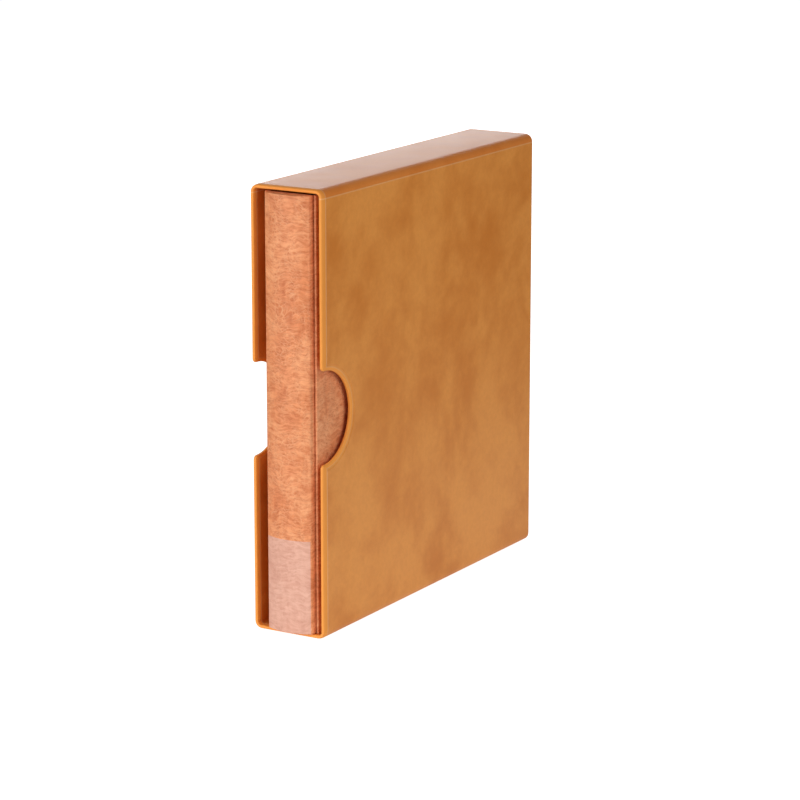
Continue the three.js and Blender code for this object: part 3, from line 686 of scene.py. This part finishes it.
def mouth_ring(inset, border, notch_border):
    """The mouth's line at an inset into the wall, moved back from the edge by the borders."""
    below_right, above_right, above_left, below_left = corner_points(inset, min(inset / WALL, 1))
    side = CASE_HALF - inset
    up = [(side, y, CASE_HEIGHT / 2 + z) for y, z in notch_points(border, notch_border)]
    down = [(-x, y, z) for x, y, z in reversed(up)]
    return (lifted(below_right, MOUTH + border) + up + lifted(above_right, MOUTH + border)
            + lifted(above_left, MOUTH + border) + down + lifted(below_left, MOUTH + border))


def back_ring(inset, y):
    """The ring of the case's section at a depth, with as many points as the mouth's line has."""
    below_right, above_right, above_left, below_left = corner_points(inset, min(inset / BACK_BORDER, 1))
    side = CASE_HALF - inset
    up = [(side, y, CASE_HEIGHT / 2 + z) for _, z in notch_points(LIP_RADIUS, LIP_RADIUS)]
    down = [(-x, y, z) for x, y, z in reversed(up)]
    return (lifted(below_right, y) + up + lifted(above_right, y)
            + lifted(above_left, y) + down + lifted(below_left, y))


# %% [markdown]
# ## The skin drawn through its rings
# On the real case the skin is glued on flat and then turned in, so it bends tightly at the inner
# edge of the lip and softly at the outer one. Each bend is a quarter turn in a few steps. The rings
# come in the order in which the sheet runs, and the sheet is closed off by the modifier alone.

# %% Wrap the slipcase
def quarter_turn():
    """The angles of a quarter turn, step by step."""
    return [math.radians(90 * step / LIP_STEPS) for step in range(LIP_STEPS + 1)]


def lip_rings():
    """Rings round the lip: a tight bend inside, a wide soft one outside, and the step to the panel."""
    turns = quarter_turn()
    inner = [(WALL - LIP_RADIUS * (1 - math.cos(t)), LIP_RADIUS * (1 - math.sin(t))) for t in turns]
    outer = [(PANEL_STEP + RIM_DROP * (1 - math.sin(t)), RIM_BAND * (1 - math.cos(t))) for t in turns]
    step = [(PANEL_STEP, RIM_BAND + HAIR), (0, RIM_BAND + HAIR + STEP_RUN)]
    return [mouth_ring(inset, border, border) for inset, border in inner + outer + step]


def wrap_slipcase():
    """The skin as one sheet from the inside border round the lip to the border on the back."""
    lip_end = LIP_RADIUS + HAIR
    borders = (TURN_IN, NOTCH_TURN_IN), (TURN_IN - HAIR, NOTCH_TURN_IN - HAIR), (lip_end, lip_end)
    turned_in = [mouth_ring(WALL, border, notch_border) for border, notch_border in borders]
    panel_edge = RIM_BAND + 2 * HAIR + STEP_RUN
    outside = [mouth_ring(0, panel_edge, panel_edge), back_ring(0, BACK - BACK_RADIUS - HAIR)]
    bend = [back_ring(BACK_RADIUS * (1 - math.cos(t)), BACK - BACK_RADIUS * (1 - math.sin(t)))
            for t in quarter_turn()]
    insets = (BACK_RADIUS + HAIR, BACK_BORDER - 2 * HAIR, BACK_BORDER - HAIR)
    border = [back_ring(inset, BACK) for inset in insets]
    mesh = bmesh.new()
    swept_rings(mesh, turned_in + lip_rings() + outside + bend + border)
    piece = finished(mesh, "slipcase_skin", "case_wrap")
    cloth = piece.modifiers.new("cloth", "SOLIDIFY")
    cloth.thickness = SKIN - GLUE
    cloth.offset = -1


wrap_slipcase()

# %% [markdown]
# ## The sheet on the back of the case
# The skin is turned over the back by a finger's width, and a sheet of the same leatherette is laid
# into that border, level with it. A real joint of this kind shows as a fine line all round, so the
# sheet is a thin plate with its edge just rounded, a hair inside the border.

# %% Lay in the back sheet
FINE_BEVEL = 0.15 * MM


def rounded_box(mesh, low, high, radius):
    """A box between two corners with all its edges rounded."""
    made = bmesh.ops.create_cube(mesh, size=1)["verts"]
    bmesh.ops.scale(mesh, vec=high - low, verts=made)
    bmesh.ops.translate(mesh, vec=(low + high) / 2, verts=made)
    round_edges(mesh, list({edge for vert in made for edge in vert.link_edges}), radius, 3)


def lay_back_sheet():
    """The sheet on the back: a thin plate with its edge just rounded."""
    mesh = bmesh.new()
    rounded_box(mesh, BACK_SHEET_LOW, BACK_SHEET_HIGH, FINE_BEVEL)
    finished(mesh, "slipcase_back_sheet", "case_back_sheet")


lay_back_sheet()

# %% [markdown]
# ## The skin of the album
# Seen from above, a closed album is a long U: two covers and a crowned spine with upright sides. At
# each hinge the skin dips into a narrow valley between the spine and the cover's edge. That outline
# is filled and pulled up to the album's height, its edges are rounded as wrapped board is, and the
# insides of the covers get a seat, framed by the turned-in skin, for the boards and paper liners.

# %% Measure the album
SKIN_LOW, SKIN_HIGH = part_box("album_skin")
LABEL_LOW, LABEL_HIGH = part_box("spine_label")
ALBUM_X = (SKIN_LOW.x + SKIN_HIGH.x) / 2
ALBUM_HALF = (SKIN_HIGH.x - SKIN_LOW.x) / 2
COVER_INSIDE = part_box("front_cover_liner")[0].x - ALBUM_X
SPINE_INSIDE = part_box("spine_liner")[1].y
FORE_EDGE = SKIN_HIGH.y
HINGE_WIDTH = 2.7 * MM
HINGE_GROOVE = 0.8 * MM
HINGE_SKIN = 0.8 * MM
SPINE_HALF = ALBUM_HALF - HINGE_WIDTH
SPINE_CROWN = 4.7 * MM
SPINE_END = SKIN_LOW.y + SPINE_CROWN
SPINE_RADIUS = (SPINE_HALF ** 2 + SPINE_CROWN ** 2) / (2 * SPINE_CROWN)
SPINE_CENTRE = SKIN_LOW.y + SPINE_RADIUS
SPINE_SPREAD = math.degrees(math.asin(SPINE_HALF / SPINE_RADIUS))
COVER_SETBACK = 2.6 * MM
COVER_FRONT = MOUTH + COVER_SETBACK
COVER_EDGE_RADIUS = 0.9 * MM
SPINE_SHOULDER = 0.9 * MM
SHOULDER_IN = 0.3 * SPINE_SHOULDER
SHOULDER_OUT = 0.05 * SPINE_SHOULDER
SHOULDER_BACK = 0.6 * SPINE_SHOULDER
EDGE_BEVEL = 0.35 * MM
COVER_SEAT = 2.6 * MM
COVER_BORDER = 12 * MM
SPINE_BORDER = 0.5 * MM
CROWN_STEPS = 32
EDGE_STEPS = 6
print("spine", round(2 * SPINE_HALF / MM, 1), "mm wide, crown", round(SPINE_CROWN / MM, 1), "mm")

# %% [markdown]
# ## The album from above
# Both halves of the album are alike, so only the right one is drawn, from the middle of the spine
# to the fore-edge of the cover. The other half is the same line with its sides changed.

# %% Draw the album from above
def half_outline():
    """The right half of the album from above: from the middle of the spine to the cover's fore-edge."""
    valley = SPINE_INSIDE - HINGE_SKIN
    groove_end = SPINE_HALF + HINGE_GROOVE
    inner = (groove_end + COVER_EDGE_RADIUS, COVER_FRONT + COVER_EDGE_RADIUS)
    outer = (ALBUM_HALF - COVER_EDGE_RADIUS, COVER_FRONT + COVER_EDGE_RADIUS)
    shoulder_angle = SPINE_SPREAD - math.degrees(SPINE_SHOULDER / SPINE_RADIUS)
    crown = arc((0, SPINE_CENTRE), SPINE_RADIUS, 270, 270 + shoulder_angle, CROWN_STEPS // 2)
    shoulder = [(SPINE_HALF - SHOULDER_IN, SPINE_END - SHOULDER_OUT), (SPINE_HALF, SPINE_END + SHOULDER_BACK)]
    dip = [(SPINE_HALF, valley), (groove_end, valley)]
    edge = (arc(inner, COVER_EDGE_RADIUS, 180, 270, EDGE_STEPS)
            + framed(arc(outer, COVER_EDGE_RADIUS, 270, 360, EDGE_STEPS))[1:])
    inside = [(ALBUM_HALF, FORE_EDGE), (COVER_INSIDE, FORE_EDGE), (COVER_INSIDE, SPINE_INSIDE)]
    return crown + shoulder + dip + edge + inside


# %% [markdown]
# ## The skin pulled up and seated
# The outline is filled and pulled up to the album's height. On the real album the skin is turned in
# over the boards and the liner is glued over its raw edge. So each inner face is framed by an inset
# and what is left of it is sunk, and last the wrapped edges are rounded with a bevel.

# %% Wrap the album
STEEP = math.radians(60)
FACING = 0.5


def is_seat(face):
    """True for the three long faces inside the album: those of both covers and of the spine."""
    middle = face.calc_center_median()
    upright = abs(face.normal.z) < FACING
    cover = abs(abs(middle.x - ALBUM_X) - COVER_INSIDE) < HAIR and middle.y > SPINE_INSIDE
    spine = abs(middle.y - SPINE_INSIDE) < HAIR
    return upright and (cover or spine)


def sink_seat(mesh, face):
    """Frames a face with a border and sinks what is left of it."""
    on_cover = abs(face.normal.x) > FACING
    bmesh.ops.inset_region(mesh, faces=[face], thickness=COVER_BORDER if on_cover else SPINE_BORDER,
                           use_even_offset=True)
    push = -face.normal * (COVER_SEAT if on_cover else LINER + GLUE)
    sunk = bmesh.ops.extrude_face_region(mesh, geom=[face])["geom"]
    bmesh.ops.delete(mesh, geom=[face], context="FACES")
    bmesh.ops.translate(mesh, vec=push, verts=verts_in(sunk))


def is_end_edge(edge):
    """True for the sharp edges at the top, the foot and the fore-edge, which a wrapped board rounds."""
    steep = len(edge.link_faces) == 2 and edge.calc_face_angle() > STEEP
    middle = (edge.verts[0].co + edge.verts[1].co) / 2
    end = min(middle.z - SKIN_LOW.z, SKIN_HIGH.z - middle.z) < HAIR
    return steep and (end or middle.y > FORE_EDGE - HAIR)


def wrap_album():
    """The album's skin, with its edges rounded and seats for the liners."""
    half = half_outline()
    outline = half + [(-x, y) for x, y in reversed(half[1:])]
    mesh = bmesh.new()
    prism(mesh, [(ALBUM_X + x, y) for x, y in outline], SKIN_LOW.z, SKIN_HIGH.z)
    for face in [face for face in mesh.faces if is_seat(face)]:
        sink_seat(mesh, face)
    round_edges(mesh, [edge for edge in mesh.edges if is_end_edge(edge)], EDGE_BEVEL, 4, clamp=False)
    finished(mesh, "album_cover_skin", "album_skin")


wrap_album()

# %% [markdown]
# ## The label on the spine
# A paler piece of leatherette is glued round the foot of the spine and left blank. It follows the
# crown, so its section is an arc, pulled up to its height and given the label's thickness.

# %% Glue on the label
LABEL_THICKNESS = 0.3 * MM
LABEL_STEPS = 28


def glue_label():
    """The blank label: an arc of the spine's crown with the label's thickness."""
    reach = (LABEL_HIGH.x - LABEL_LOW.x) / 2
    spread = math.degrees(math.asin(reach / SPINE_RADIUS))
    centre = (ALBUM_X, SPINE_CENTRE)
    outer = arc(centre, SPINE_RADIUS + LABEL_THICKNESS / 2, 270 - spread, 270 + spread, LABEL_STEPS)
    inner = arc(centre, SPINE_RADIUS - LABEL_THICKNESS / 2, 270 + spread, 270 - spread, LABEL_STEPS)
    mesh = bmesh.new()
    prism(mesh, outer + inner, LABEL_LOW.z + EDGE_BEVEL, LABEL_HIGH.z)
    finished(mesh, "blank_label", "spine_label")


glue_label()

# %% [markdown]
# ## The pad of the spine
# Under the skin of the spine lies a strip of foam, cut to the width of the spine board and swelling
# to a low crown. It is made as the plain section of that strip, with its corners eased as cut foam
# has them, and it is full: the skin is drawn tight over it.

# %% Cut the spine pad
PAD_LOW, PAD_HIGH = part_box("spine_pad")
PAD_EDGE = 0.5 * MM


def cut_spine_pad():
    """The strip of foam under the spine, with its cut edges eased."""
    reach = (PAD_HIGH.x - PAD_LOW.x) / 2
    radius = SPINE_CENTRE - PAD_LOW.y
    spread = math.degrees(math.asin(reach / radius))
    crown = arc((ALBUM_X, SPINE_CENTRE), radius, 270 - spread, 270 + spread, CROWN_STEPS)
    mesh = bmesh.new()
    prism(mesh, crown + [(PAD_HIGH.x, PAD_HIGH.y), (PAD_LOW.x, PAD_HIGH.y)], PAD_LOW.z, PAD_HIGH.z)
    round_edges(mesh, [edge for edge in mesh.edges if edge.calc_face_angle() > SHARP], PAD_EDGE, 4)
    pad = finished(mesh, "spine_foam_pad", "spine_pad")


cut_spine_pad()

# %% [markdown]
# ## The ring mechanism
# The cover plate, its blades, rivets, levers and pins are pressed and turned metal whose shapes the
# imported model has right. Real pressed metal has no knife edges, so each is copied, its flat faces
# are joined up, and a fine bevel rounds its edges and lets them catch the light.

# %% Soften the pressed metal
METAL_PARTS = {
    # node: bevel in millimetres
    "ring_cover_plate": 0.22,
    "ring_blade_left": 0.15,
    "ring_blade_right": 0.15,
    "rivet_bottom": 0.25,
    "rivet_top": 0.25,
    "lever_bottom": 0.2,
    "lever_top": 0.2,
    "lever_pin_bottom": 0.15,
    "lever_pin_top": 0.15,
}
WELD_DISTANCE = 0.001 * MM
FLAT = math.radians(1)


def soften(node, width):
    """A copy of a metal part with its facets joined and its edges eased."""
    mesh = bmesh.new()
    mesh.from_mesh(frame["nodes"][node].data)
    bmesh.ops.remove_doubles(mesh, verts=mesh.verts, dist=WELD_DISTANCE)
    bmesh.ops.dissolve_limit(mesh, angle_limit=FLAT, use_dissolve_boundaries=False,
                             verts=mesh.verts, edges=mesh.edges, delimit=set())
    piece = finished(mesh, node + "_metal", node)
    ease = piece.modifiers.new("eased edges", "BEVEL")
    ease.width = width * MM
    ease.segments = 2
    ease.angle_limit = SHARP
    ease.use_clamp_overlap = True


for node, width in METAL_PARTS.items():
    soften(node, width)

# %% [markdown]
# ## The rings
# Each ring is two half rings of round wire, bent to the same arc and set in the blades, whose tips
# meet in the middle. One circle of wire is spun about the ring's own centre, from its root in the
# blade to its tip, and the ends are closed flat.

# %% Bend the rings
RING_NUMBERS = range(1, 5)
RING_WIRE = 3.2 * MM
WIRE_SIDES = 20
RING_STEPS = 30
ROOT_DEGREES = 69


def bend_half_ring(node, side):
    """One half ring, on the side +1 or -1 of the middle of the album."""
    low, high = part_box(node)
    reach = high.x - ALBUM_X if side > 0 else ALBUM_X - low.x
    radius = reach - RING_WIRE / 2
    centre = Vector((ALBUM_X, high.y - reach, (low.z + high.z) / 2))
    gap = low.x - ALBUM_X if side > 0 else ALBUM_X - high.x
    start = math.radians(90) - math.asin(gap / radius)
    sweep = start + math.radians(ROOT_DEGREES)
    mesh = bmesh.new()
    spot = centre + Vector((side * radius * math.cos(start), radius * math.sin(start), 0))
    lie_down = Matrix.Rotation(math.radians(90), 4, "Y")
    turn = Matrix.Rotation(side * (start - math.radians(90)), 4, "Z") @ lie_down
    wire = bmesh.ops.create_circle(mesh, cap_ends=False, radius=RING_WIRE / 2, segments=WIRE_SIDES,
                                   matrix=Matrix.Translation(spot) @ turn)["verts"]
    ring = wire + list({edge for vert in wire for edge in vert.link_edges})
    bmesh.ops.spin(mesh, geom=ring, cent=centre, axis=(0, 0, 1), angle=-side * sweep,
                   steps=RING_STEPS, use_duplicate=False, use_normal_flip=False)
    bmesh.ops.holes_fill(mesh, edges=mesh.edges, sides=0)
    finished(mesh, node + "_wire", node)


for side, word in ((1, "right"), (-1, "left")):
    for number in RING_NUMBERS:
        bend_half_ring(f"half_ring_{word}_{number}", side)

# %% [markdown]
# ## The coin sheets
# A coin sheet is two films of soft vinyl welded together in a grid, so that four by five pockets
# stand a little proud of the welds on both faces. Its bound edge is punched for the rings. The
# film is an outline with four holes, filled and given its thickness, and each pocket is a low
# cushion of film on either side of it.

# %% Weld the coin sheets
RING_HEIGHTS = [(sum(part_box(f"half_ring_right_{number}"), Vector()) / 2).z for number in RING_NUMBERS]
SHEET_NUMBERS = range(1, 6)
POCKETS_ACROSS = 4
POCKETS_UP = 5
POCKET_GAP = 4 * MM
POCKET_RISE = 0.3 * MM
POCKET_EDGE = 0.25 * MM
BINDING = 22 * MM
PUNCH_RADIUS = 4 * MM
PUNCH_MARGIN = 10 * MM
PUNCH_SIDES = 28


def film_with_holes(mesh, low, high):
    """The film of a sheet: a plate with round holes at the heights of the rings."""
    ring_of(mesh, [(low.x, low.y, low.z), (low.x, high.y, low.z),
                   (low.x, high.y, high.z), (low.x, low.y, high.z)])
    for height in RING_HEIGHTS:
        centre = (low.y + PUNCH_MARGIN, height)
        ring_of(mesh, [(low.x, y, z) for y, z in arc(centre, PUNCH_RADIUS, 0, 360, PUNCH_SIDES)[:-1]])
    faces = bmesh.ops.triangle_fill(mesh, use_beauty=True, edges=mesh.edges[:])["geom"]
    faces = [part for part in faces if isinstance(part, bmesh.types.BMFace)]
    pull(mesh, faces, (high.x - low.x, 0, 0))


def weld_sheet(node):
    """A coin sheet: its film, and a grid of pockets that stand proud of it on both faces."""
    low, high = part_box(node)
    mesh = bmesh.new()
    film_with_holes(mesh, low, high)
    wide = (high.y - low.y - BINDING - POCKET_GAP) / POCKETS_ACROSS
    tall = (high.z - low.z - POCKET_GAP) / POCKETS_UP
    size = Vector((high.x - low.x + 2 * POCKET_RISE, wide - POCKET_GAP, tall - POCKET_GAP))
    for across in range(POCKETS_ACROSS):
        for up in range(POCKETS_UP):
            start = Vector((low.x - POCKET_RISE, low.y + BINDING + across * wide,
                            low.z + POCKET_GAP + up * tall))
            rounded_box(mesh, start, start + size, POCKET_EDGE)
    finished(mesh, node + "_pockets", node)


for number in SHEET_NUMBERS:
    weld_sheet(f"coin_sheet_{number}")

# %% [markdown]
# ## What stays as packed
# The boards, the linings and the plain leaves between the sheets are flat and cut square, so their
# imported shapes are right. They keep them, and only get their finishes.

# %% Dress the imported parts
def dress(node):
    """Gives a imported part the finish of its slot."""
    part = frame["nodes"][node]
    part.material_slots[0].link = "OBJECT"
    part.material_slots[0].material = FINISHES[SLOT_OF[node]]


DRESSED = [node for node in SLOT_OF if not frame["nodes"][node].hide_render]
for node in DRESSED:
    dress(node)
print("dressed as packed:", ", ".join(sorted(DRESSED)))
